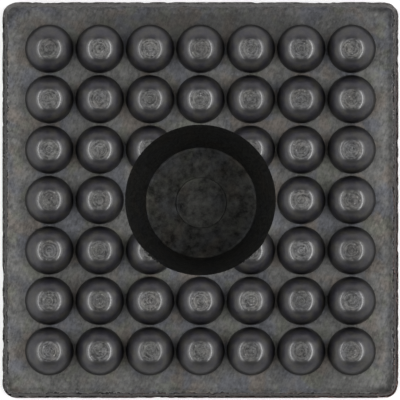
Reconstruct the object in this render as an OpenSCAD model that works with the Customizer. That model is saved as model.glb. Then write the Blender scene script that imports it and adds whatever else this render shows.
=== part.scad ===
// Rubber lift pad: one moulded block with a field of flat-topped domes and a tapered blind recess.
// Millimetres, +Z up. The origin is the centre of the underside.

/* [Block] */
// Width of the square block where it leaves the mould, just above the flash
block_side = 118.8; // [114:0.2:124]
// Height of the block from the underside to the face that carries the domes
block_height = 33; // [28:0.5:40]
// Draft of the four sides, in degrees from upright
side_draft = 2; // [1:0.25:2.5]
// Radius of the upright corners at the foot of the block
corner_radius = 3.8; // [3.5:0.1:6]
// Radius that softens the edge round the top face
edge_radius = 2.4; // [1.5:0.1:2.7]

/* [Flash] */
// How far the trimmed flash stands out round the foot of the block
flash_width = 0.6; // [0.3:0.1:1]
// Thickness of the trimmed flash
flash_thickness = 1; // [0.6:0.1:1.6]

/* [Domes] */
// Domes along each side of the grid
dome_rows = 7; // [5:2:7]
// Distance between neighbouring domes
dome_pitch = 15.17; // [14.8:0.01:15.8]
// Diameter of a dome where it leaves the top face
dome_diameter = 14.66; // [13.6:0.02:14.7]
// Height of a dome from the top face to its flat crown
dome_height = 6.6; // [6:0.1:6.7]
// Radius between a dome's flat crown and its flank
crown_radius = 2.1; // [1.5:0.1:2.4]
// Narrowest piece of a dome that is left standing beside the recess
least_dome = 2; // [1:0.5:4]

/* [Recess] */
// Diameter of the recess at its mouth, which also cuts the domes beside it
mouth_diameter = 45.4; // [44.8:0.1:47]
// Chamfer round the mouth
mouth_chamfer = 0.4; // [0.3:0.05:0.8]
// Diameter of the recess at its floor
floor_diameter = 33.4; // [30:0.1:37]
// Depth of the recess below the top face
recess_depth = 22; // [18:0.5:25]
// How far to one side the leaning core of the mould sets the floor
core_lean = 0.9; // [0.5:0.05:1.5]
// Direction in which the floor is set over, in degrees from +X
core_lean_direction = -75; // [-180:5:180]

/* [Floor mark] */
// Diameter of the round mark in the recess floor
mark_diameter = 15.4; // [10:0.1:20]
// Width of the mark's groove
mark_width = 0.4; // [0.3:0.05:0.8]
// Depth of the mark's groove
mark_depth = 0.3; // [0.2:0.05:0.6]

/* [Hidden] */
$fn = 96;
// Cutting bodies run this far past the faces that they cut
overrun = 2;

// Side of the block, in the plane across a corner's axis
corner_inset = block_side / 2 - corner_radius;
draft_lean = block_height * tan(side_draft);
top_corner_radius = corner_radius - draft_lean;
// The edge round's centre lies one radius under the top and one radius in from the drafted side
edge_centre_x = top_corner_radius + edge_radius * (tan(side_draft) - 1 / cos(side_draft));
edge_centre_z = block_height - edge_radius;
edge_tangent = [edge_centre_x + edge_radius * cos(side_draft), edge_centre_z + edge_radius * sin(side_draft)];

dome_radius = dome_diameter / 2;
// A ball of the crown radius that touches both the crown and the flank from inside
crown_centre_z = dome_height - crown_radius;
crown_centre_x = sqrt(pow(dome_radius - crown_radius, 2) - pow(crown_centre_z, 2));
crown_tangent = [crown_centre_x, crown_centre_z] * dome_radius / (dome_radius - crown_radius);

mouth_radius = mouth_diameter / 2;
floor_radius = floor_diameter / 2;
floor_z = block_height - recess_depth;
// The core's wall meets the top face just inside the chamfer
core_top_radius = mouth_radius - mouth_chamfer;
wall_angle = atan((core_top_radius - floor_radius) / recess_depth);
lean_angle = atan(core_lean / recess_depth);
// A level cut through a leaning cone lies a little to one side of the cone's axis
core_middle_radius = (core_top_radius + floor_radius) / 2;
core_shift = core_middle_radius * cos(wall_angle)
    * (1 / cos(wall_angle + lean_angle) - 1 / cos(wall_angle - lean_angle)) / 2;
floor_centre = core_lean * [cos(core_lean_direction), sin(core_lean_direction)];

// Half section of the block from a corner's axis outwards, with the flash at its foot
module side_section() {
    polygon([
        [0, 0],
        [corner_radius, 0],
        edge_tangent,
        [edge_centre_x, edge_centre_z],
        [edge_centre_x, block_height],
        [0, block_height],
    ]);
    translate([edge_centre_x, edge_centre_z])
        intersection() {
            circle(r = edge_radius);
            translate([0, -edge_radius])
                square([edge_radius, 2 * edge_radius]);
        }
    square([corner_radius + flash_width, flash_thickness]);
}

// A side of the block: the section run straight between two corners
module side_run() {
    translate([corner_inset, corner_inset, 0])
        rotate([90, 0, 0])
            linear_extrude(height = 2 * corner_inset)
                side_section();
}

// A corner of the block: the section swept a quarter turn round the corner's axis
module corner_turn() {
    translate([corner_inset, corner_inset, 0])
        rotate_extrude(angle = 90)
            side_section();
}

// The drafted block, with its edges and corners rounded
module block() {
    translate([-corner_inset, -corner_inset, 0])
        cube([2 * corner_inset, 2 * corner_inset, block_height]);
    for (turn = [0 : 90 : 270])
        rotate([0, 0, turn]) {
            side_run();
            corner_turn();
        }
}

// Half section of a dome, carried down into the block by the overrun
module dome_section() {
    intersection() {
        circle(r = dome_radius);
        translate([0, -overrun])
            square([dome_radius, overrun + crown_tangent[1]]);
    }
    polygon([
        [0, 0],
        [crown_centre_x, crown_centre_z],
        [crown_centre_x, dome_height],
        [0, dome_height],
    ]);
    // Kept to one side of the axis, which a wide crown fillet on a narrow dome would cross
    intersection() {
        translate([crown_centre_x, crown_centre_z])
            circle(r = crown_radius);
        square([dome_radius, dome_height + overrun]);
    }
}

module dome() {
    rotate_extrude()
        dome_section();
}

// True where enough of a dome stands outside the mouth of the recess
function dome_stands(place) = norm(place) + dome_radius - mouth_radius > least_dome;

// The square grid of domes, centred on the block
module dome_field() {
    middle = (dome_rows - 1) / 2;
    for (column = [-middle : middle], row = [-middle : middle]) {
        place = dome_pitch * [column, row];
        if (dome_stands(place))
            translate([place[0], place[1], block_height])
                dome();
    }
}

// The space that the mould's leaning core leaves, level at its floor
module core_space() {
    intersection() {
        rotate([0, 0, core_lean_direction])
            translate([core_shift, 0, block_height])
                rotate([0, lean_angle, 0])
                    translate([0, 0, -recess_depth - overrun])
                        cylinder(
                            h = recess_depth + 2 * overrun,
                            r1 = floor_radius - overrun * tan(wall_angle),
                            r2 = core_top_radius + overrun * tan(wall_angle)
                        );
        translate([-mouth_radius, -mouth_radius, floor_z])
            cube([mouth_diameter, mouth_diameter, recess_depth + mouth_chamfer / 2]);
    }
}

// The mouth: a chamfer at 45 degrees, then straight up through the domes
module mouth_space() {
    // The chamfer's cone runs on down inside the core's space
    chamfer_run = recess_depth / 2;
    translate([0, 0, block_height])
        cylinder(h = dome_height + overrun, r = mouth_radius);
    translate([0, 0, block_height - chamfer_run])
        cylinder(h = chamfer_run, r1 = mouth_radius - chamfer_run, r2 = mouth_radius);
}

// Round groove in the recess floor
module floor_mark() {
    mark_radius = mark_diameter / 2;
    translate([floor_centre[0], floor_centre[1], floor_z - mark_depth])
        difference() {
            cylinder(h = mark_depth + overrun, r = mark_radius + mark_width / 2);
            translate([0, 0, -overrun])
                cylinder(h = mark_depth + 3 * overrun, r = mark_radius - mark_width / 2);
        }
}

module lift_pad() {
    color([0.11, 0.11, 0.115])
        difference() {
            union() {
                block();
                dome_field();
            }
            core_space();
            mouth_space();
            floor_mark();
        }
}

lift_pad();
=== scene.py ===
"""Looks of a moulded rubber lift pad: its bloomed skin, domes, recess, torn flash and studio."""

import logging
import math
from dataclasses import dataclass, field
from enum import Enum, IntEnum

import bmesh
import bpy
from bmesh.types import BMesh, BMEdge, BMFace, BMVert
from mathutils import Matrix, Vector, noise


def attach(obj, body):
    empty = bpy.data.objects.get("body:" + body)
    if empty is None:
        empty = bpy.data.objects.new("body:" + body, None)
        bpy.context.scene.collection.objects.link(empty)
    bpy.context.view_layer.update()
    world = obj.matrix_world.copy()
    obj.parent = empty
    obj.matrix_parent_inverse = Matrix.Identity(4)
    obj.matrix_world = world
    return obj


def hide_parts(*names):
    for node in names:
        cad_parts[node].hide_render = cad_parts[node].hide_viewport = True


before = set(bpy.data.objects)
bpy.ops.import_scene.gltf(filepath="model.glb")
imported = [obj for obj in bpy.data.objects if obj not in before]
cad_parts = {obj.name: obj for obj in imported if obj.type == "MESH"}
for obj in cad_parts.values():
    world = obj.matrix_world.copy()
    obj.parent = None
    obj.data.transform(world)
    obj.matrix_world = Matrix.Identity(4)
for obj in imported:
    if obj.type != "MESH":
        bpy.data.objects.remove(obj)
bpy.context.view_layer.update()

LOG = logging.getLogger("lift_pad")
MM = 0.001
NODE = "lift_pad"
BODY = "root"

# Sizes that the shapes share with the finishes
OUTLINE = 60 * MM
PITCH = 15.17 * MM
FACE_HEIGHT = 33 * MM
FLOOR_HEIGHT = 11 * MM
RING_RADIUS = 1.97 * MM
# Points closer than this are one point
WELD = 0.001 * MM

Colour = tuple[float, float, float]
Triple = tuple[float, float, float]
# Two numbers that belong together, mostly the start and the end of a smooth step
Span = tuple[float, float]

WHITE: Colour = (1.0, 1.0, 1.0)
EVEN: Triple = (1.0, 1.0, 1.0)
# Draws a pattern out along Z, as the mould drags it
UPRIGHT: Triple = (1.0, 1.0, 0.06)


# ---------------------------------------------------------------------------------------------
# Shader maths
# ---------------------------------------------------------------------------------------------


class Signal:
    """A number socket that takes part in Python arithmetic by adding Math nodes."""

    def __init__(self, recipe: "Recipe", socket: bpy.types.NodeSocket) -> None:
        """Wraps a socket of the recipe's node tree."""
        self.recipe = recipe
        self.socket = socket

    def _math(self, operation: str, *values: "Signal | float") -> "Signal":
        """Adds one Math node.

        Args:
            operation: the Math node's operation.
            *values: its inputs in order.

        Returns:
            The node's result.
        """
        node = self.recipe.add("ShaderNodeMath", {"operation": operation}, dict(enumerate(values)))
        return Signal(self.recipe, node.outputs[0])

    def __add__(self, other: "Signal | float") -> "Signal":
        """self + other."""
        return self._math("ADD", self, other)

    def __radd__(self, other: float) -> "Signal":
        """other + self."""
        return self._math("ADD", other, self)

    def __sub__(self, other: "Signal | float") -> "Signal":
        """self - other."""
        return self._math("SUBTRACT", self, other)

    def __rsub__(self, other: float) -> "Signal":
        """other - self."""
        return self._math("SUBTRACT", other, self)

    def __mul__(self, other: "Signal | float") -> "Signal":
        """self * other."""
        return self._math("MULTIPLY", self, other)

    def __rmul__(self, other: float) -> "Signal":
        """other * self."""
        return self._math("MULTIPLY", other, self)

    def __truediv__(self, other: "Signal | float") -> "Signal":
        """self / other."""
        return self._math("DIVIDE", self, other)

    def __abs__(self) -> "Signal":
        """abs(self)."""
        return self._math("ABSOLUTE", self)

    def floor(self) -> "Signal":
        """The whole number below the value."""
        return self._math("FLOOR", self)

    def wrap(self, low: float, high: float) -> "Signal":
        """The value folded into the range from low to high."""
        return self._math("WRAP", self, high, low)

    def least(self, other: "Signal | float") -> "Signal":
        """The smaller of the two values."""
        return self._math("MINIMUM", self, other)

    def most(self, other: "Signal | float") -> "Signal":
        """The larger of the two values."""
        return self._math("MAXIMUM", self, other)

    def ramp(self, start: float, end: float, low: float = 0.0, high: float = 1.0) -> "Signal":
        """A smooth step from low at start to high at end.

        Args:
            start: the value at which the step begins.
            end: the value at which it is complete, which may lie below start.
            low: the result before the step.
            high: the result after it.

        Returns:
            The stepped value.
        """
        node = self.recipe.add(
            "ShaderNodeMapRange",
            {"interpolation_type": "SMOOTHSTEP"},
            {"Value": self, "From Min": start, "From Max": end, "To Min": low, "To Max": high},
        )
        return Signal(self.recipe, node.outputs["Result"])

    def bell(self, centre: float, width: float) -> "Signal":
        """1 at the centre, falling smoothly to 0 at the width on both sides."""
        return abs(self - centre).ramp(width, 0.0)


@dataclass(frozen=True)
class Grain:
    """The make-up of a noise, with the size of a patch in the unit of the vector it is read at.

    The span is spread over the range between the ends. A scale stretches the vector along each
    axis, after a turn about Z in radians.
    """

    size: float
    detail: float
    rough: float = 0.5
    span: Span = (0.3, 0.7)
    ends: Span = (0.0, 1.0)
    scale: Triple | None = None
    turn: float = 0.0


@dataclass(frozen=True)
class Dots:
    """The make-up of small spots: the spacing of their cells and the share of cells with a spot."""

    size: float
    share: float


class Recipe:
    """The node tree of one material or world, filled through a few short methods."""

    # Where a spot ends and where it is full, as a share of its cell
    SPOT_SPAN = (0.38, 0.12)
    SPOT_SOFTNESS = 0.7
    COAT_ROUGHNESS = 0.24
    COAT_IOR = 1.75

    def __init__(self, tree: bpy.types.NodeTree) -> None:
        """Empties the tree and keeps it."""
        self.tree = tree
        tree.nodes.clear()

    @classmethod
    def material(cls, name: str) -> tuple[bpy.types.Material, "Recipe"]:
        """Makes a new material.

        Args:
            name: the material's name.

        Returns:
            The material, and the recipe that fills it.
        """
        material = bpy.data.materials.new(name)
        material.use_nodes = True
        return material, cls(material.node_tree)

    def add(self, kind: str, settings: dict | None = None, sockets: dict | None = None) -> bpy.types.Node:
        """Adds a node, sets it up and feeds it.

        Args:
            kind: the node's type.
            settings: its own settings, set first.
            sockets: a value, a socket or a Signal for each input, by name or number.

        Returns:
            The new node.
        """
        node = self.tree.nodes.new(kind)
        for key, value in (settings or {}).items():
            setattr(node, key, value)
        for key, value in (sockets or {}).items():
            source = value.socket if isinstance(value, Signal) else value
            if isinstance(source, bpy.types.NodeSocket):
                self.tree.links.new(source, node.inputs[key])
            elif node.inputs[key].type == "RGBA":
                node.inputs[key].default_value = (*source, 1.0)
            else:
                node.inputs[key].default_value = source
        return node

    def place(self) -> bpy.types.NodeSocket:
        """The point's place on the object, in metres."""
        return self.add("ShaderNodeTexCoord").outputs["Object"]

    def split(self, vector: bpy.types.NodeSocket) -> tuple[Signal, Signal, Signal]:
        """The three parts of a vector."""
        node = self.add("ShaderNodeSeparateXYZ", None, {0: vector})
        return tuple(Signal(self, socket) for socket in node.outputs)

    def join(self, x: Signal | float, y: Signal | float, z: Signal | float = 0.0) -> bpy.types.NodeSocket:
        """A vector made of three values."""
        return self.add("ShaderNodeCombineXYZ", None, {0: x, 1: y, 2: z}).outputs[0]

    def length(self, x: Signal, y: Signal) -> Signal:
        """The distance of (x, y) from the origin."""
        node = self.add("ShaderNodeVectorMath", {"operation": "LENGTH"}, {0: self.join(x, y)})
        return Signal(self, node.outputs["Value"])

    def stretch(self, vector: bpy.types.NodeSocket, scale: Triple, turn: float = 0.0) -> bpy.types.NodeSocket:
        """The vector turned about Z and scaled along each axis.

        Args:
            vector: the vector to change.
            scale: its factors along X, Y and Z.
            turn: the turn about Z before scaling, in radians.

        Returns:
            The changed vector.
        """
        sockets = {"Vector": vector, "Rotation": (0.0, 0.0, turn)}
        turned = self.add("ShaderNodeMapping", {"vector_type": "POINT"}, sockets).outputs[0]
        return self.add("ShaderNodeVectorMath", {"operation": "MULTIPLY"}, {0: turned, 1: scale}).outputs[0]

    def noise(self, vector: bpy.types.NodeSocket, grain: Grain) -> Signal:
        """Soft noise, spread over the range that its make-up names.

        Args:
            vector: where it is read.
            grain: its make-up.

        Returns:
            The noise.
        """
        if grain.scale:
            vector = self.stretch(vector, grain.scale, grain.turn)
        sockets = {"Scale": 1.0 / grain.size, "Detail": grain.detail, "Roughness": grain.rough}
        node = self.add("ShaderNodeTexNoise", None, {"Vector": vector, **sockets})
        return Signal(self, node.outputs[0]).ramp(*grain.span, *grain.ends)

    def specks(self, vector: bpy.types.NodeSocket, dots: Dots) -> Signal:
        """Small round spots.

        Args:
            vector: where they are read.
            dots: their make-up, with the size in the vector's own unit.

        Returns:
            1 in the middle of a spot, 0 between them.
        """
        cells = self.add("ShaderNodeTexVoronoi", None, {"Vector": vector, "Scale": 1.0 / dots.size})
        chance = self.add("ShaderNodeSeparateColor", None, {0: cells.outputs["Color"]}).outputs[0]
        near = Signal(self, cells.outputs["Distance"]).ramp(*self.SPOT_SPAN)
        return near * Signal(self, chance).ramp(dots.share, dots.share * self.SPOT_SOFTNESS)

    def mix(self, factor: Signal | float, a: Colour | bpy.types.NodeSocket,
            b: Colour | bpy.types.NodeSocket) -> bpy.types.NodeSocket:
        """Mixes two colours.

        Args:
            factor: 0 gives the first colour, 1 the second.
            a: the first colour.
            b: the second colour.

        Returns:
            The mixed colour.
        """
        return self.add("ShaderNodeMix", {"data_type": "RGBA"}, {0: factor, 6: a, 7: b}).outputs[2]

    def shade(self, colour: bpy.types.NodeSocket, level: Signal) -> bpy.types.NodeSocket:
        """The colour times a level."""
        node = self.add("ShaderNodeVectorMath", {"operation": "SCALE"}, {0: colour, "Scale": level})
        return node.outputs[0]

    def finish(self, colour: bpy.types.NodeSocket, roughness: Signal, height: Signal, relief: float,
               specular: float, coat: Signal | float = 0.0) -> None:
        """Ends a rubber material.

        Args:
            colour: the surface's own colour.
            roughness: its roughness.
            height: the fine relief, from 0 to 1.
            relief: the height of that relief, in metres.
            specular: the share of the usual mirror reflection.
            coat: how far a polished skin lies over it.
        """
        bump = self.add("ShaderNodeBump", None, {"Strength": 1.0, "Distance": relief, "Height": height})
        sockets = {
            "Base Color": colour,
            "Roughness": roughness,
            "Normal": bump.outputs[0],
            "Specular IOR Level": specular,
            "Coat Weight": coat,
            "Coat Roughness": self.COAT_ROUGHNESS,
            "Coat IOR": self.COAT_IOR,
        }
        shader = self.add("ShaderNodeBsdfPrincipled", None, sockets)
        self.add("ShaderNodeOutputMaterial", None, {"Surface": shader.outputs[0]})


# ---------------------------------------------------------------------------------------------
# Finishes
# ---------------------------------------------------------------------------------------------
# In the sums of the tones, the number beside a pattern is that pattern's weight. A tone of 1 is
# the bloom's own colour.


class Zone(IntEnum):
    """The stretches of the moulding that wear their own finish, in the order of the slots."""

    FACE = 0
    DOME = 1
    RECESS = 2
    SIDE = 3


@dataclass(frozen=True)
class Tones:
    """Colours that the finishes share, and the patches that they form."""

    dusk: Colour = (0.020, 0.019, 0.026)
    soot: Colour = (0.022, 0.021, 0.018)
    cool: Colour = (0.050, 0.0515, 0.057)
    warm: Colour = (0.0625, 0.056, 0.050)
    bloom: Colour = (0.058, 0.058, 0.056)
    olive: Colour = (0.057, 0.0595, 0.049)
    stain: Colour = (0.070, 0.046, 0.042)
    cool_patches: Grain = Grain(9 * MM, 1.5, span=(0.46, 0.62))
    warm_patches: Grain = Grain(7 * MM, 1.5, span=(0.50, 0.66), scale=EVEN, turn=0.8)
    olive_patches: Grain = Grain(6 * MM, 1.0, span=(0.56, 0.68), scale=EVEN, turn=2.1)


def patchwork(recipe: Recipe, place: bpy.types.NodeSocket, tones: Tones) -> bpy.types.NodeSocket:
    """The bloom's colour, which drifts between cool, warm and olive patches.

    Args:
        recipe: the material that is being made.
        place: where it is read, in metres.
        tones: the colours that it drifts between.

    Returns:
        The colour.
    """
    cool = recipe.noise(place, tones.cool_patches)
    warm = recipe.noise(place, tones.warm_patches)
    olive = recipe.noise(place, tones.olive_patches)
    colour = recipe.mix(cool, tones.bloom, tones.cool)
    colour = recipe.mix(warm, colour, tones.warm)
    return recipe.mix(olive * 0.7, colour, tones.olive)


@dataclass(frozen=True)
class Edge:
    """The torn rubber round the pad's outline, which the face and the sides share."""

    recipe: Recipe
    place: bpy.types.NodeSocket
    outline: float = OUTLINE
    torn: float = 1.9 * MM
    torn_fade: float = 0.25 * MM
    crack: float = 1.6 * MM
    spacing: float = 0.8 * MM
    drift: Grain = Grain(4.5 * MM, 1.0, ends=(-0.25 * MM, 0.25 * MM), scale=UPRIGHT)
    fray: Grain = Grain(1.2 * MM, 3.0, 0.65, ends=(-0.35 * MM, 0.35 * MM), scale=UPRIGHT)
    drag: Grain = Grain(0.8 * MM, 3.0, 0.65, (0.34, 0.66), scale=UPRIGHT)
    gaps: Grain = Grain(1.9 * MM, 3.0, 0.6, (0.43, 0.53), scale=UPRIGHT)
    clouds: Grain = Grain(3.5 * MM, 3.0, 0.6)
    points: Dots = Dots(1.1 * MM, 0.10)
    torn_line: Span = (26.5 * MM, 29.5 * MM)
    torn_foot: Span = (3 * MM, 1.5 * MM)
    stained_span: Span = (-20 * MM, 75 * MM)
    # Where the painted light on the far side rises
    painted_far_span: Span = (56 * MM, 58 * MM)
    near_span: Span = (57.5 * MM, 55.5 * MM)
    rim_span: Span = (0.15 * MM, 0.45 * MM)
    crack_shade_span: Span = (0.34 * MM, 0.10 * MM)
    burr_and_highlight_span: Span = (0.22 * MM, 0.38 * MM)

    def inset(self) -> Signal:
        """How far in from the outline the point lies, with the wander of torn rubber."""
        x, y, _ = self.recipe.split(self.place)
        drift = self.recipe.noise(self.place, self.drift)
        fray = self.recipe.noise(self.place, self.fray)
        return self.outline - abs(x).most(abs(y)) + drift + fray

    def torn_band(self) -> Signal:
        """1 at the torn line and at the flash, and 0 on the plain stretch of the side between them."""
        _, _, z = self.recipe.split(self.place)
        return z.ramp(*self.torn_line).most(z.ramp(*self.torn_foot))

    def stained(self) -> Signal:
        """How far the side lies towards +X and -Y, where the outline is brown and cracked."""
        x, y, _ = self.recipe.split(self.place)
        return (x - y).ramp(*self.stained_span)

    def side_level(self) -> Signal:
        """The tone of the dull sides: drag marks, clouds and pale points, with painted light that makes the
        far side brighter.
        """
        drag = self.recipe.noise(self.place, self.drag)
        clouds = self.recipe.noise(self.place, self.clouds)
        points = self.recipe.specks(self.place, self.points)
        _, y, _ = self.recipe.split(self.place)
        # Painted light: up to 1.7 times brighter on the far (+Y) side, which faces the far lamp
        far = y.ramp(*self.painted_far_span, 1.0, 1.7)
        level = 0.32 + (0.10 + 0.46 * self.torn_band()) * drag + 0.40 * clouds + 0.5 * points
        return level * far * (0.94 - 0.22 * self.stained())

    def wear(self, level: Signal) -> Signal:
        """Tears a tone.

        Args:
            level: the tone away from the edge.

        Returns:
            The tone with the torn sides, the cracks darkened with painted shade and the pale burr beside
            them, which is partly a painted highlight.
        """
        inset = self.inset()
        outer = self.torn + self.torn_fade
        _, y, _ = self.recipe.split(self.place)
        near = y.ramp(*self.near_span, 0.25, 1.0)
        gaps = self.recipe.noise(self.place, self.gaps) * near * (0.12 + 0.88 * self.torn_band())
        gaps = gaps * inset.ramp(outer, self.torn)
        gaps = gaps * inset.ramp(*self.rim_span).most(self.stained())
        level = level + (self.side_level() - level) * inset.ramp(outer, self.torn - self.torn_fade)
        fold = abs((inset - self.crack).wrap(-self.spacing / 2, self.spacing / 2))
        # Painted shade: the cracks go nearly black, as the shade in the tears; the burr beside them is pale
        # torn rubber and partly a painted highlight of the torn lip
        level = level * (1.0 - 0.97 * gaps * fold.ramp(*self.crack_shade_span))
        return level + 2.3 * gaps * fold.ramp(*self.burr_and_highlight_span)


@dataclass(frozen=True)
class FaceFinish:
    """The flat face between the domes and the rounded edge: grey bloom with streaks and rubbed spots."""

    tones: Tones = Tones()
    name: str = "bloomed_face"
    outline: float = OUTLINE
    mottle: Grain = Grain(1.3 * MM, 4.0, 0.62)
    streaks: Grain = Grain(0.6 * MM, 3.0, 0.6, scale=(1.0, 0.3, 1.0), turn=0.35)
    clouds: Grain = Grain(6 * MM, 2.0)
    specks: Dots = Dots(1.6 * MM, 0.16)
    lip_span: Span = (4.8 * MM, 2.6 * MM)
    # Where the painted light and shade over the face lie: lighter at the sides, painted shade along the far
    # edge
    side_span: Span = (46 * MM, 56 * MM)
    near_span: Span = (-46 * MM, -55 * MM)
    right_span: Span = (0.0, 58 * MM)
    painted_far_span: Span = (42 * MM, 54 * MM)
    far_middle: float = 2 * MM
    far_reach: float = 100 * MM
    corner_span: Span = (106 * MM, 115 * MM)
    relief: float = 0.05 * MM
    specular: float = 0.25

    def make(self) -> bpy.types.Material:
        """Builds the material."""
        material, recipe = Recipe.material(self.name)
        place = recipe.place()
        mottle = recipe.noise(place, self.mottle)
        streaks = recipe.noise(place, self.streaks)
        clouds = recipe.noise(place, self.clouds)
        specks = recipe.specks(place, self.specks)
        x, y, _ = recipe.split(place)
        lip = (self.outline - abs(x).most(abs(y))).ramp(*self.lip_span)
        level = 0.72 + 1.15 * mottle + 0.92 * streaks + 0.85 * clouds + 1.0 * specks
        level = Edge(recipe, place).wear(level * self._painted_light_and_shade(x, y, lip))
        colour = recipe.shade(patchwork(recipe, place, self.tones), level)
        roughness = 0.56 - 0.2 * mottle + 0.34 * lip
        recipe.finish(colour, roughness, mottle * 0.6 + streaks * 0.4, self.relief, self.specular)
        return material

    def _painted_light_and_shade(self, x: Signal, y: Signal, lip: Signal) -> Signal:
        """The painted light and shade over the face, laid on the bloom's tone.

        Args:
            x: the place along X, in metres.
            y: the place along Y, in metres.
            lip: 1 on the rounded edge and 0 inside it.

        Returns:
            The factor: painted light at the sides, where no domes shade the face, and lighter towards the
                right; painted shade along the far edge and on the rounded edge at the right, where the lamps
                light it most; darker towards the near edge and at the corners' rounded edge.
        """
        sides = abs(x).ramp(*self.side_span)
        near = y.ramp(*self.near_span)
        right = x.ramp(*self.right_span)
        far = y.ramp(*self.painted_far_span) * x.bell(self.far_middle, self.far_reach)
        corner = (abs(x) + abs(y)).ramp(*self.corner_span)
        # Painted light at the sides, where no domes shade the face; painted shade along the far edge and on
        # the right's rounded edge
        drift = 0.91 + 0.12 * sides + 0.07 * right - 0.60 * far * (1.0 - 0.35 * lip)
        drift = drift - (0.12 + 0.14 * right) * near * (1.0 - sides)
        return drift * (1.0 - (0.06 + 0.50 * right * sides) * lip) * (1.0 - 0.6 * corner * lip)


@dataclass(frozen=True)
class DomeFinish:
    """The domes: satin flanks and flat crowns that carry turned tool marks and scratches."""

    tones: Tones = Tones()
    name: str = "satin_dome"
    pitch: float = PITCH
    crown: float = 2.8 * MM
    crown_fade: float = 0.5 * MM
    flat_fade: float = 0.4 * MM
    ring: float = RING_RADIUS
    ring_width: float = 0.30 * MM
    inner_ring: float = 0.95 * MM
    inner_ring_width: float = 0.22 * MM
    fillet: float = 3.2 * MM
    fillet_width: float = 1.2 * MM
    # A ring of painted shade just outside each crown, deeper on the -Y side
    shade: float = 3.7 * MM
    painted_shade_width: float = 1.0 * MM
    painted_shade_span: Span = (2.5 * MM, -3.0 * MM)
    # Painted shade down each dome's flank towards its foot
    painted_foot_span: Span = (37.9 * MM, 35.0 * MM)
    axis_gap: float = 0.1 * MM
    winding: float = 9.0
    sweep: float = 1.3
    mark_shift: Span = (0.37, 0.53)
    marks: Grain = Grain(3.2 * MM, 3.0, 0.6)
    fine: Grain = Grain(0.7 * MM, 3.0, 0.6)
    smear: Grain = Grain(2.6 * MM, 2.0)
    specks: Dots = Dots(0.8 * MM, 0.16)
    scratches: Grain = Grain(0.28 * MM, 1.0, span=(0.62, 0.74), scale=(0.10, 1.0, 1.0), turn=0.06)
    blotch: Grain = Grain(4.5 * MM, 1.0, span=(0.42, 0.6))
    own_shift: Span = (0.61, 0.73)
    gloss: Grain = Grain(1.0, 1.0, ends=(0.65, 1.0))
    worn: Grain = Grain(1.0, 1.0, ends=(0.8, 1.25), scale=EVEN, turn=1.2)
    relief: float = 0.06 * MM
    specular: float = 0.35

    def make(self) -> bpy.types.Material:
        """Builds the material."""
        material, recipe = Recipe.material(self.name)
        place = recipe.place()
        x, y, z = recipe.split(place)
        half = self.pitch / 2
        u = x.wrap(-half, half)
        v = y.wrap(-half, half)
        column = (x / self.pitch + 0.5).floor()
        row = (y / self.pitch + 0.5).floor()
        reach = recipe.length(u, v)
        crown = reach.ramp(self.crown + self.crown_fade, self.crown)
        flat = reach.ramp(self.crown, self.crown - self.flat_fade)

        # The patterns. The shifts keep each dome's marks and wear apart from its neighbours'.
        across = u * self.sweep + column * self.mark_shift[0]
        along = v * self.sweep + row * self.mark_shift[1]
        marks = recipe.noise(recipe.join(reach * self.winding, across, along), self.marks)
        grain = recipe.noise(place, self.fine)
        smear = recipe.noise(place, self.smear)
        inner_ring = 0.6 * reach.bell(self.inner_ring, self.inner_ring_width)
        ring = reach.bell(self.ring, self.ring_width) + inner_ring
        specks = recipe.specks(place, self.specks)
        scratches = recipe.noise(place, self.scratches)
        blotch = recipe.noise(place, self.blotch)
        own = recipe.join(column * self.own_shift[0], row * self.own_shift[1])
        gloss = recipe.noise(own, self.gloss)
        worn = recipe.noise(own, self.worn)

        # The tones of the crown and the flank with their painted shade, and the polished skin over the fillet
        crown_level = 1.8 * marks + 1.8 * grain + 1.2 * ring * smear + 2.8 * specks + 1.4 * scratches * blotch
        crown_level = (crown_level - 0.35) * worn
        flank_level = 0.55 + 0.5 * grain + 0.6 * smear
        rubbed = (abs(u) / (reach + self.axis_gap)).ramp(0.35, 0.75)
        polish = reach.bell(self.fillet, self.fillet_width) * rubbed * gloss
        # Painted shade: each dome is darkened in a ring just outside its crown, by up to 0.45 on its +Y side
        # and 0.85 on its -Y side
        shade = reach.bell(self.shade, self.painted_shade_width) * v.ramp(*self.painted_shade_span, 0.45, 0.85)
        level = (flank_level + (crown_level - flank_level) * crown) * (1.0 - shade)
        # Painted shade: the flank darkens towards the foot, to a tenth of its tone, where the neighbouring
        # domes and the face shade it
        low = z.ramp(*self.painted_foot_span)

        dust = recipe.mix(0.35, self.tones.bloom, patchwork(recipe, place, self.tones))
        skin = recipe.mix(smear, self.tones.dusk, self.tones.soot)
        base = recipe.mix(crown * 0.75, skin, dust)
        colour = recipe.shade(base, level * (1.0 - 0.9 * low))
        roughness = 0.38 - 0.10 * (marks * flat)
        height = grain * (0.07 + 0.25 * flat) + marks * flat * 0.6
        recipe.finish(colour, roughness, height, self.relief, self.specular, polish)
        return material


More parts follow.
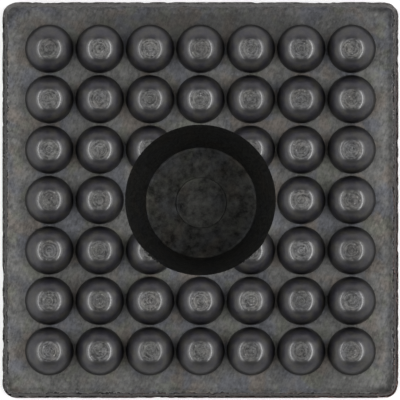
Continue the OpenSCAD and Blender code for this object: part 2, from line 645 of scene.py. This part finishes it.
@dataclass(frozen=True)
class RecessFinish:
    """The recess: dark, dull wall with a paler mottled floor."""

    tones: Tones = Tones()
    name: str = "recess_skin"
    floor: float = FLOOR_HEIGHT
    floor_fade: Span = (0.6 * MM, 0.1 * MM)
    centre: Span = (0.23 * MM, -0.87 * MM)
    # A painted highlight ring at the floor's rounded edge
    rim: float = 16.2 * MM
    rim_width: float = 0.3 * MM
    mark: float = 7.35 * MM
    mark_width: float = 0.35 * MM
    mottle: Grain = Grain(1.9 * MM, 4.0, 0.65)
    drag: Grain = Grain(0.7 * MM, 3.0, 0.6, scale=(1.0, 1.0, 0.08))
    clouds: Grain = Grain(5 * MM, 2.0)
    x_span: Span = (13 * MM, -13 * MM)
    # Where the painted shade on the floor's -Y side lies
    painted_shade_y_span: Span = (-16 * MM, 2 * MM)
    wall_span: Span = (18 * MM, 32 * MM)
    relief: float = 0.06 * MM
    specular: float = 0.08

    def make(self) -> bpy.types.Material:
        """Builds the material."""
        material, recipe = Recipe.material(self.name)
        place = recipe.place()
        x, y, z = recipe.split(place)
        on_floor = z.ramp(*(self.floor + rise for rise in self.floor_fade))
        mottle = recipe.noise(place, self.mottle)
        drag = recipe.noise(place, self.drag)
        clouds = recipe.noise(place, self.clouds)
        reach = recipe.length(x - self.centre[0], y - self.centre[1])
        # A painted highlight: a pale ring at the floor's edge, where it rounds up into the wall; with it a
        # pale ring just inside the mark
        rims = reach.bell(self.rim, self.rim_width) + reach.bell(self.mark, self.mark_width)
        # Painted shade: the floor darkens towards -Y, where the wall shades it; it is also lighter towards -X
        side = x.ramp(*self.x_span, 0.92, 1.2) * y.ramp(*self.painted_shade_y_span, 0.8, 1.0)
        floor_level = (0.02 + 0.75 * mottle + 0.6 * clouds + 0.2 * drag + 0.5 * rims * clouds) * side * 1.1
        wall_level = (0.25 + 0.4 * drag) * z.ramp(*self.wall_span, 0.42, 0.3)
        level = wall_level + (floor_level - wall_level) * on_floor
        tint = recipe.mix(0.25, patchwork(recipe, place, self.tones), self.tones.olive)
        colour = recipe.shade(tint, level)
        roughness = 0.66 - 0.1 * mottle
        recipe.finish(colour, roughness, mottle * 0.5 + drag * 0.5, self.relief, self.specular)
        return material


@dataclass(frozen=True)
class SideFinish:
    """The drafted sides and the underside: plain moulded rubber with drag marks and brown stains."""

    tones: Tones = Tones()
    name: str = "moulded_side"
    # Painted light on the flash at the foot
    painted_foot_span: Span = (2.5 * MM, 1.2 * MM)
    stains: Grain = Grain(6 * MM, 2.0, span=(0.42, 0.62))
    relief: float = 0.05 * MM
    specular: float = 0.12

    def make(self) -> bpy.types.Material:
        """Builds the material."""
        material, recipe = Recipe.material(self.name)
        place = recipe.place()
        _, _, z = recipe.split(place)
        edge = Edge(recipe, place)
        low = z.ramp(*self.painted_foot_span)
        near = edge.stained()
        stain = recipe.noise(place, self.stains)
        brown = 0.10 + near * (0.08 + 0.25 * stain + (0.20 + 0.35 * stain) * edge.torn_band())
        base = recipe.mix(brown, self.tones.bloom, self.tones.stain)
        # Painted light: the flash at the foot is lifted to 2.2 times the tone, 1.5 times on the stained side,
        # against the shade that the wall above casts on it
        level = edge.wear(edge.side_level()) * (1.0 + low * (1.2 - 0.7 * near))
        recipe.finish(recipe.shade(base, level), 0.85 - 0.1 * level, level, self.relief, self.specular)
        return material


@dataclass(frozen=True)
class FloorFinish:
    """The plain pale floor, which reads as white and keeps the shadow."""

    name: str = "pale_floor"
    colour: Colour = (0.8, 0.8, 0.8)
    lift: float = 0.45

    def make(self) -> bpy.types.Material:
        """Builds the material."""
        material, recipe = Recipe.material(self.name)
        diffuse = recipe.add("ShaderNodeBsdfDiffuse", None, {"Color": self.colour})
        glow = recipe.add("ShaderNodeEmission", None, {"Strength": self.lift})
        both = recipe.add("ShaderNodeAddShader", None, {0: diffuse.outputs[0], 1: glow.outputs[0]})
        sockets = {0: seen_directly(recipe), 1: diffuse.outputs[0], 2: both.outputs[0]}
        shown = recipe.add("ShaderNodeMixShader", None, sockets)
        recipe.add("ShaderNodeOutputMaterial", None, {"Surface": shown.outputs[0]})
        return material


def seen_directly(recipe: Recipe) -> Signal:
    """1 for rays from the camera, in mirrors and through glass, and 0 for rays that carry light."""
    path = recipe.add("ShaderNodeLightPath")
    kinds = ("Is Camera Ray", "Is Glossy Ray", "Is Transmission Ray")
    camera, mirror, glass = (Signal(recipe, path.outputs[kind]) for kind in kinds)
    return (camera + mirror + glass).least(1.0)


# ---------------------------------------------------------------------------------------------
# Shape
# ---------------------------------------------------------------------------------------------


@dataclass(frozen=True)
class Wave:
    """One layer of raggedness: the width of a patch, its pattern's seed and how far it reaches."""

    size: float
    seed: float
    reach: float = 1.0

    def at(self, point: Vector) -> float:
        """Smooth noise from about -reach to reach, read at a point in metres."""
        shift = Vector((self.seed, 2.7 * self.seed, -self.seed))
        return self.reach * noise.noise(point / self.size + shift)


def profile(bm: BMesh, points: list[Vector]) -> list[BMVert | BMEdge]:
    """Draws a chain of edges.

    Args:
        bm: the mesh that gets it.
        points: its corners in order.

    Returns:
        The new vertices and edges.
    """
    verts = [bm.verts.new(point) for point in points]
    edges = [bm.edges.new(pair) for pair in zip(verts, verts[1:])]
    return [*verts, *edges]


def arc(centre: Vector, radius: float, start: float, end: float, steps: int) -> list[Vector]:
    """Points along an arc in the XZ plane.

    Args:
        centre: the arc's centre.
        radius: its radius.
        start: the angle of its first point above +X, in radians.
        end: the angle of its last point.
        steps: how many steps it takes.

    Returns:
        The points, both ends included.
    """
    turns = (start + (end - start) * step / steps for step in range(steps + 1))
    return [centre + radius * Vector((math.cos(turn), 0.0, math.sin(turn))) for turn in turns]


def as_object(name: str, bm: BMesh) -> bpy.types.Object:
    """Turns a mesh under construction into an object at the origin.

    Args:
        name: the object's name.
        bm: the mesh, which is freed.

    Returns:
        The object.
    """
    mesh = bpy.data.meshes.new(name)
    bm.to_mesh(mesh)
    bm.free()
    thing = bpy.data.objects.new(name, mesh)
    bpy.context.scene.collection.objects.link(thing)
    return thing


@dataclass
class Block:
    """The drafted block with its rounded edge, the torn line under it and the flash round its foot."""

    corner_inset: float = 55.6 * MM
    foot_radius: float = 3.8 * MM
    height: float = FACE_HEIGHT
    draft: float = math.radians(2)
    edge_radius: float = 2.4 * MM
    edge_steps: int = 10
    flash_width: float = 0.6 * MM
    flash_thickness: float = 1 * MM
    flash_round: float = 0.15 * MM
    flash_wander: float = 0.32 * MM
    flash_loss: float = 0.05
    flash_waves: tuple[Wave, ...] = (
        Wave(12 * MM, 5.3, 0.9), Wave(2.6 * MM, 8.4, 0.9), Wave(1.1 * MM, 1.9, 0.5))
    tear_height: float = 30.2 * MM
    tear_reach: float = 1.3 * MM
    tear_depth: float = 0.5 * MM
    tear_out: tuple[Wave, ...] = (Wave(1.1 * MM, 3.1), Wave(4.5 * MM, 7.7, 0.6))
    tear_up: Wave = Wave(1.3 * MM, 9.2)
    tear_rows: tuple[float, ...] = (-0.7, -0.4, -0.15, 0.05)
    skin_line: float = 31.6 * MM
    skin_wave: Wave = Wave(2.5 * MM, 6.1, 0.45 * MM)
    side_steps: int = 216
    corner_steps: int = 12
    side_rows: int = 6
    axis_gap: float = 0.1 * MM

    def section(self) -> list[Vector]:
        """The half section from a corner's axis outwards, from the underside round to the top face."""
        lean = math.tan(self.draft)
        lip = self.foot_radius + self.flash_width
        soft = self.flash_round
        top_radius = self.foot_radius - self.height * lean
        centre_x = top_radius + self.edge_radius * (lean - 1 / math.cos(self.draft))
        centre = Vector((centre_x, 0, self.height - self.edge_radius))
        flash = [(0, 0), (lip - soft, 0), (lip, soft), (lip, self.flash_thickness - soft)]
        flash.append((lip - soft, self.flash_thickness))
        plain = self.tear_height - self.tear_reach - self.flash_thickness
        rise = [self.flash_thickness + plain * row / self.side_rows for row in range(self.side_rows + 1)]
        rise += [self.tear_height + self.tear_reach * share for share in self.tear_rows]
        side = [(self.foot_radius - z * lean, z) for z in rise]
        points = [Vector((x, 0, z)) for x, z in flash + side]
        points += arc(centre, self.edge_radius, self.draft, math.pi / 2, self.edge_steps)
        points += [Vector((self.axis_gap, 0, self.height)), Vector((0, 0, self.height))]
        return points

    def build(self, bm: BMesh) -> None:
        """Sweeps the section along a side and a corner, copies both all round and closes the underside."""
        inset = self.corner_inset
        start = Matrix.Translation((inset, -inset, 0))
        geometry = profile(bm, [start @ point for point in self.section()])
        along = (0, 2 * inset / self.side_steps, 0)
        run = bmesh.ops.spin(bm, geom=geometry, dvec=along, axis=(0, 0, 1), angle=0, steps=self.side_steps)
        bmesh.ops.spin(bm, geom=run["geom_last"], cent=(inset, inset, 0), axis=(0, 0, 1), angle=math.pi / 2,
                       steps=self.corner_steps)
        quarter = [*bm.verts, *bm.edges, *bm.faces]
        for side in range(1, 4):
            copy = bmesh.ops.duplicate(bm, geom=quarter)["geom"]
            verts = [item for item in copy if isinstance(item, BMVert)]
            bmesh.ops.rotate(bm, verts=verts, matrix=Matrix.Rotation(side * math.pi / 2, 3, "Z"))
        bmesh.ops.remove_doubles(bm, verts=bm.verts, dist=WELD)
        self._tear(bm)
        foot = [edge for edge in bm.edges if edge.is_boundary and edge.verts[0].co.z < self.height / 2]
        bmesh.ops.holes_fill(bm, edges=foot, sides=0)

    def outward(self, point: Vector) -> Vector:
        """The level direction from the corners' inner square to the point."""
        return self._beyond(point).normalized()

    def _tear(self, bm: BMesh) -> None:
        """Roughens the line under the rounded edge and the rim of the flash, as torn rubber is."""
        rim = self.foot_radius + self.flash_width / 2
        above_flash = 1.01 * self.flash_thickness
        for vert in bm.verts:
            out = self.outward(vert.co)
            offset = abs(vert.co.z - self.tear_height) / self.tear_reach
            level = vert.co.xy.to_3d()
            if offset < 1 and out.length > 0:
                rough = sum(wave.at(level) for wave in self.tear_out)
                lift = self.tear_up.at(level)
                vert.co += (1 - offset ** 2) * self.tear_depth * (rough * out + Vector((0, 0, lift)))
            elif vert.co.z < above_flash and self._beyond(vert.co).length > rim:
                worn = sum((wave.at(level) for wave in self.flash_waves), self.flash_loss)
                vert.co -= max(0.0, min(1.0, worn)) * self.flash_wander * out

    def _beyond(self, point: Vector) -> Vector:
        """The level step from the inner square between the corners' axes to the point."""
        inner = [max(-self.corner_inset, min(self.corner_inset, part)) for part in point.xy]
        return Vector((point.x - inner[0], point.y - inner[1], 0))


@dataclass
class DomeField:
    """The square grid of flat-topped domes and the face that they stand on."""

    rows: int = 7
    pitch: float = PITCH
    radius: float = 7.33 * MM
    dome_height: float = 6.6 * MM
    crown_radius: float = 2.1 * MM
    base: float = FACE_HEIGHT
    centre_flat: float = 0.9 * MM
    ring_radius: float = RING_RADIUS
    ring_depth: float = 0.05 * MM
    ring_width: float = 0.22 * MM
    bare_rings: float = 1.2
    tile_cells: int = 12
    flank_steps: int = 11
    crown_steps: int = 8

    def section(self) -> list[Vector]:
        """A dome's half section from its axis at the crown down to the face."""
        inner = self.radius - self.crown_radius
        centre_z = self.dome_height - self.crown_radius
        centre = Vector((math.sqrt(inner ** 2 - centre_z ** 2), 0, centre_z))
        meet = math.atan2(centre.z, centre.x)
        crown = [(0, 0), (self.centre_flat, 0), (self.ring_radius - self.ring_width, 0)]
        crown += [(self.ring_radius, self.ring_depth), (self.ring_radius + self.ring_width, 0)]
        points = [Vector((x, 0, self.dome_height - dip)) for x, dip in crown]
        points += arc(centre, self.crown_radius, math.pi / 2, meet, self.crown_steps)
        points += arc(Vector(), self.radius, meet, 0, self.flank_steps)[1:]
        return [point + Vector((0, 0, self.base)) for point in points]

    def build(self, bm: BMesh) -> None:
        """Makes one domed tile and one bare tile and lays them out over the grid."""
        middle = (self.rows - 1) / 2
        domed = self._domed_tile(bm)
        bare = self._bare_tile(bm)
        for column in range(self.rows):
            for row in range(self.rows):
                place = self.pitch * Vector((column - middle, row - middle, 0))
                source = bare if place.length < self.bare_rings * self.pitch else domed
                copy = bmesh.ops.duplicate(bm, geom=source)["geom"]
                verts = [item for item in copy if isinstance(item, BMVert)]
                bmesh.ops.translate(bm, verts=verts, vec=place)
        spent = [item for item in domed + bare if isinstance(item, BMVert)]
        bmesh.ops.delete(bm, geom=spent, context="VERTS")

    def _domed_tile(self, bm: BMesh) -> list[BMVert | BMEdge | BMFace]:
        """Spins a dome and carries its foot out to a square tile.

        Args:
            bm: the mesh that gets it.

        Returns:
            The tile's geometry.
        """
        steps = 4 * self.tile_cells
        known = set(bm.verts)
        bmesh.ops.spin(bm, geom=profile(bm, self.section()), axis=(0, 0, 1), angle=math.tau, steps=steps,
                       use_merge=True)
        verts = [vert for vert in bm.verts if vert not in known]
        bmesh.ops.remove_doubles(bm, verts=verts, dist=WELD)
        foot = [edge for edge in bm.edges if edge.is_boundary and edge.verts[0] not in known
                and edge.calc_length() > 0 and abs(edge.verts[0].co.z - self.base) < WELD]
        rim = bmesh.ops.extrude_edge_only(bm, edges=foot)["geom"]
        for vert in (item for item in rim if isinstance(item, BMVert)):
            vert.co = self._square(vert.co)
        return self._new_geometry(bm, known)

    def _square(self, point: Vector) -> Vector:
        """Moves a point of the dome's foot to its even place on the tile's outline."""
        cell = math.atan2(point.y, point.x) * 4 * self.tile_cells / math.tau
        side = round(cell / self.tile_cells)
        along = (cell - side * self.tile_cells) * self.pitch / self.tile_cells
        return Matrix.Rotation(side * math.pi / 2, 3, "Z") @ Vector((self.pitch / 2, along, self.base))

    def _bare_tile(self, bm: BMesh) -> list[BMVert | BMEdge | BMFace]:
        """A flat tile with no dome, whose edge matches the others."""
        known = set(bm.verts)
        bmesh.ops.create_grid(bm, x_segments=self.tile_cells, y_segments=self.tile_cells, size=self.pitch / 2,
                              matrix=Matrix.Translation((0, 0, self.base)))
        return self._new_geometry(bm, known)

    @staticmethod
    def _new_geometry(bm: BMesh, known: set[BMVert]) -> list[BMVert | BMEdge | BMFace]:
        """Everything in the mesh that isn't on the known vertices."""
        fresh = [vert for vert in bm.verts if vert not in known]
        edges = {edge for vert in fresh for edge in vert.link_edges}
        faces = {face for vert in fresh for face in vert.link_faces}
        return [*fresh, *edges, *faces]


@dataclass
class Recess:
    """The space of the mould's leaning core, with the mouth that runs up through the domes."""

    face: float = FACE_HEIGHT
    top: float = 41 * MM
    floor: float = FLOOR_HEIGHT
    mouth_radius: float = 22.7 * MM
    chamfer: float = 0.4 * MM
    floor_radius: float = 16.7 * MM
    floor_fillet: float = 0.35 * MM
    lean: float = 0.9 * MM
    lean_direction: float = math.radians(-75)
    mark_radius: float = 7.7 * MM
    mark_width: float = 0.4 * MM
    mark_depth: float = 0.3 * MM
    mark_bottom_share: float = 0.6
    floor_ring_shares: tuple[float, float] = (0.5, 0.75)
    around: int = 288
    fillet_steps: int = 4
    wall_rows: int = 8
    cut_rows: tuple[float, ...] = (0.15, 0.4, 0.65, 0.85)
    cut_start: float = 0.1 * MM
    cut_wave: Wave = Wave(0.9 * MM, 4.4, 0.05 * MM)
    torn_cuts: tuple[tuple[float, float, float], ...] = (
        (math.radians(-130), math.radians(7), -0.55 * MM),
        (math.radians(-52), math.radians(4), -0.2 * MM),
        (math.radians(-37), math.radians(5), 0.25 * MM),
    )

    def section(self) -> list[Vector]:
        """The half section from the floor's centre, over the mark, up the wall and through the domes."""
        half = self.mark_width / 2
        bottom = half * self.mark_bottom_share
        deep = self.floor - self.mark_depth
        mark = [(-half, self.floor), (-bottom, deep), (bottom, deep), (half, self.floor)]
        inner, outer = self.floor_ring_shares
        points = [Vector((0, 0, self.floor)), Vector((self.mark_radius * inner, 0, self.floor))]
        points += [Vector((self.mark_radius + x, 0, z)) for x, z in mark]
        points.append(Vector((self.floor_radius * outer, 0, self.floor)))
        fillet = self.floor_fillet
        centre = Vector((self.floor_radius - fillet, 0, self.floor + fillet))
        points += arc(centre, fillet, -math.pi / 2, 0, self.fillet_steps)
        low = Vector((self.floor_radius, 0, self.floor + fillet))
        high = Vector((self.mouth_radius - self.chamfer, 0, self.face - self.chamfer))
        points += [low.lerp(high, row / self.wall_rows) for row in range(1, self.wall_rows + 1)]
        points += [Vector((self.mouth_radius, 0, self.face))]
        rise = self.top - self.face
        points += [Vector((self.mouth_radius, 0, self.face + rise * share)) for share in self.cut_rows]
        points += [Vector((self.mouth_radius, 0, self.top)), Vector((0, 0, self.top))]
        return points

    def build(self, bm: BMesh) -> None:
        """Spins the space, leans it and tears its cut through the domes."""
        bmesh.ops.spin(bm, geom=profile(bm, self.section()), axis=(0, 0, 1), angle=math.tau,
                       steps=self.around, use_merge=True)
        bmesh.ops.remove_doubles(bm, verts=bm.verts, dist=WELD)
        slope = self.lean / (self.face - self.floor)
        aim = Vector((math.cos(self.lean_direction), math.sin(self.lean_direction), 0))
        for vert in bm.verts:
            if vert.co.z > self.face + self.cut_start:
                vert.co += self._torn(vert.co) * Vector((vert.co.x, vert.co.y, 0)).normalized()
            else:
                vert.co += aim * slope * max(0.0, self.face - vert.co.z)
        bmesh.ops.recalc_face_normals(bm, faces=bm.faces)

    def _torn(self, point: Vector) -> float:
        """How far the cut through a dome strays outwards at the point."""
        angle = math.atan2(point.y, point.x)
        stray = self.cut_wave.at(point)
        for middle, width, depth in self.torn_cuts:
            stray += depth * math.exp(-(((angle - middle) / width) ** 2))
        return stray


@dataclass
class LiftPad:
    """The whole moulding as one closed skin."""

    block: Block = field(default_factory=Block)
    domes: DomeField = field(default_factory=DomeField)
    recess: Recess = field(default_factory=Recess)
    name: str = "lift_pad_rubber"
    sharp_angle: float = math.radians(38)
    seam: float = 0.002 * MM
    sliver: float = 0.004 * MM
    margin: float = 0.03 * MM
    cut_depth: float = 0.4 * MM
    cut_slope: float = 0.3

    def build(self) -> bpy.types.Object:
        """Builds, cuts and dresses the pad, and fits it to the frame.

        Returns:
            The finished object.
        """
        body = bmesh.new()
        self.block.build(body)
        self.domes.build(body)
        self._close_face(body)
        piece = as_object(self.name, body)
        core = bmesh.new()
        self.recess.build(core)
        cutter = as_object("recess_core", core)
        self._cut(piece, cutter)
        self._zones(piece)
        for finish in (FaceFinish(), DomeFinish(), RecessFinish(), SideFinish()):
            piece.data.materials.append(finish.make())
        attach(piece, BODY)
        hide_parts(NODE)
        return piece

    def _close_face(self, bm: BMesh) -> None:
        """Joins the tiles to each other and to the block's edge, and turns every face outwards."""
        bmesh.ops.remove_doubles(bm, verts=bm.verts, dist=self.seam)
        edges = [edge for edge in bm.edges if edge.is_boundary]
        bmesh.ops.triangle_fill(bm, edges=edges, use_beauty=True, normal=(0, 0, 1))
        bmesh.ops.recalc_face_normals(bm, faces=bm.faces)

    @staticmethod
    def _cut(piece: bpy.types.Object, cutter: bpy.types.Object) -> None:
        """Takes the cutter's space out of the piece and removes the cutter."""
        modifier = piece.modifiers.new("recess", "BOOLEAN")
        modifier.operation = "DIFFERENCE"
        modifier.solver = "EXACT"
        modifier.object = cutter
        depsgraph = bpy.context.evaluated_depsgraph_get()
        cut = bpy.data.meshes.new_from_object(piece.evaluated_get(depsgraph))
        piece.modifiers.clear()
        piece.data = cut
        bpy.data.objects.remove(cutter)

    def _zones(self, piece: bpy.types.Object) -> None:
        """Tells the zones apart by place, cleans the cut and sets the shading."""
        bm = bmesh.new()
        bm.from_mesh(piece.data)
        bmesh.ops.remove_doubles(bm, verts=bm.verts, dist=self.sliver)
        bmesh.ops.dissolve_degenerate(bm, edges=bm.edges, dist=self.sliver)
        for face in bm.faces:
            face.smooth = True
            face.material_index = self._zone(face)
        for edge in bm.edges:
            if edge.is_manifold and edge.calc_face_angle() > self.sharp_angle:
                edge.smooth = False
        open_edges = sum(not edge.is_manifold for edge in bm.edges)
        bm.to_mesh(piece.data)
        bm.free()
        piece.data.calc_loop_triangles()
        LOG.info("%s: %d triangles, %d open edges", piece.name, len(piece.data.loop_triangles), open_edges)

    def _zone(self, face: BMFace) -> Zone:
        """The zone that a face lies in."""
        centre = face.calc_center_median()
        across = centre.xy.length
        if across < self.recess.mouth_radius - self.margin:
            return Zone.RECESS
        if centre.z > self.recess.face + self.margin:
            near_cut = across < self.recess.mouth_radius + self.cut_depth
            on_cut = near_cut and abs(face.normal.z) < self.cut_slope
            return Zone.RECESS if on_cut and face.normal.xy.dot(centre.xy) < 0 else Zone.DOME
        skin_line = self.block.skin_line + self.block.skin_wave.at(centre.xy.to_3d())
        return Zone.FACE if centre.z > skin_line else Zone.SIDE


# ---------------------------------------------------------------------------------------------
# Studio
# ---------------------------------------------------------------------------------------------


class Aim(Enum):
    """What a lamp points at."""

    FACE = Vector((0.0, 0.0, 0.035))


@dataclass(frozen=True)
class Lamp:
    """A soft rectangular lamp, placed by its direction from the pad."""

    name: str
    tilt: float
    heading: float
    across: float
    rise: float
    brightness: float
    colour: Colour = WHITE
    distance: float = 1.2

    def light(self) -> bpy.types.Object:
        """Hangs the lamp.

        Returns:
            The lamp's object.
        """
        data = bpy.data.lights.new(self.name, "AREA")
        data.shape = "RECTANGLE"
        data.size = self.across
        data.size_y = self.rise
        data.energy = self.brightness * math.pi * self.across * self.rise
        data.color = self.colour
        lamp = bpy.data.objects.new(self.name, data)
        tilt = math.radians(self.tilt)
        heading = math.radians(self.heading)
        level = math.sin(tilt)
        away = Vector((level * math.cos(heading), level * math.sin(heading), math.cos(tilt)))
        lamp.location = Aim.FACE.value + self.distance * away
        lamp.rotation_euler = away.to_track_quat("Z", "Y").to_euler()
        lamp.visible_camera = False
        bpy.context.scene.collection.objects.link(lamp)
        return lamp


@dataclass
class Studio:
    """Pale floor, soft lamps, pale world and the camera straight above."""

    lens: float = 1500.0
    sensor: float = 36.0
    field_width: float = 120.93 * MM
    sharp_height: float = 12 * MM
    centre: tuple[float, float] = (-0.13 * MM, 0.005 * MM)
    floor_size: float = 12.0
    world_level: float = 0.05
    lamps: tuple[Lamp, ...] = (
        Lamp("right_strip", 39, -4, 1.7, 0.26, 6.8),
        Lamp("left_strip", 39, 184, 1.7, 0.26, 5.0),
        Lamp("right_wall", 72, 7, 1.4, 0.7, 2.05),
        Lamp("left_wall", 72, 190, 2.1, 0.7, 1.65),
        Lamp("far_fill", 78, 90, 2.0, 0.6, 1.1, (0.92, 0.88, 1.0)),
    )

    def build(self) -> None:
        """Lays the floor, hangs the lamps, lights the world and sets the camera."""
        self._floor()
        for lamp in self.lamps:
            lamp.light()
        self._world()
        self._camera()
        bpy.context.scene.view_settings.view_transform = "Standard"

    def _floor(self) -> None:
        """Lays the floor."""
        bm = bmesh.new()
        bmesh.ops.create_grid(bm, x_segments=1, y_segments=1, size=self.floor_size / 2)
        floor = as_object("floor", bm)
        floor.data.materials.append(FloorFinish().make())

    def _world(self) -> None:
        """Gives the pad a dim, even sky that the camera sees as white."""
        world = bpy.data.worlds.new("studio")
        world.use_nodes = True
        recipe = Recipe(world.node_tree)
        level = seen_directly(recipe)
        strength = self.world_level + (1.0 - self.world_level) * level
        sky = recipe.add("ShaderNodeBackground", None, {"Color": WHITE, "Strength": strength})
        recipe.add("ShaderNodeOutputWorld", None, {"Surface": sky.outputs[0]})
        bpy.context.scene.world = world

    def _camera(self) -> None:
        """Hangs a long-lens camera straight above the pad."""
        data = bpy.data.cameras.new("above")
        data.lens = self.lens
        data.sensor_width = self.sensor
        camera = bpy.data.objects.new("above", data)
        camera.location = (*self.centre, self.sharp_height + self.field_width * self.lens / self.sensor)
        bpy.context.scene.collection.objects.link(camera)
        bpy.context.scene.camera = camera


def main() -> None:
    """Builds the pad and the studio."""
    logging.basicConfig(level=logging.INFO, format="%(name)s: %(message)s")
    pad = LiftPad().build()
    LOG.info("%s stands for %s on body %s", pad.name, NODE, BODY)
    Studio().build()
    LOG.info("studio is lit")


if __name__ == "__main__":
    main()
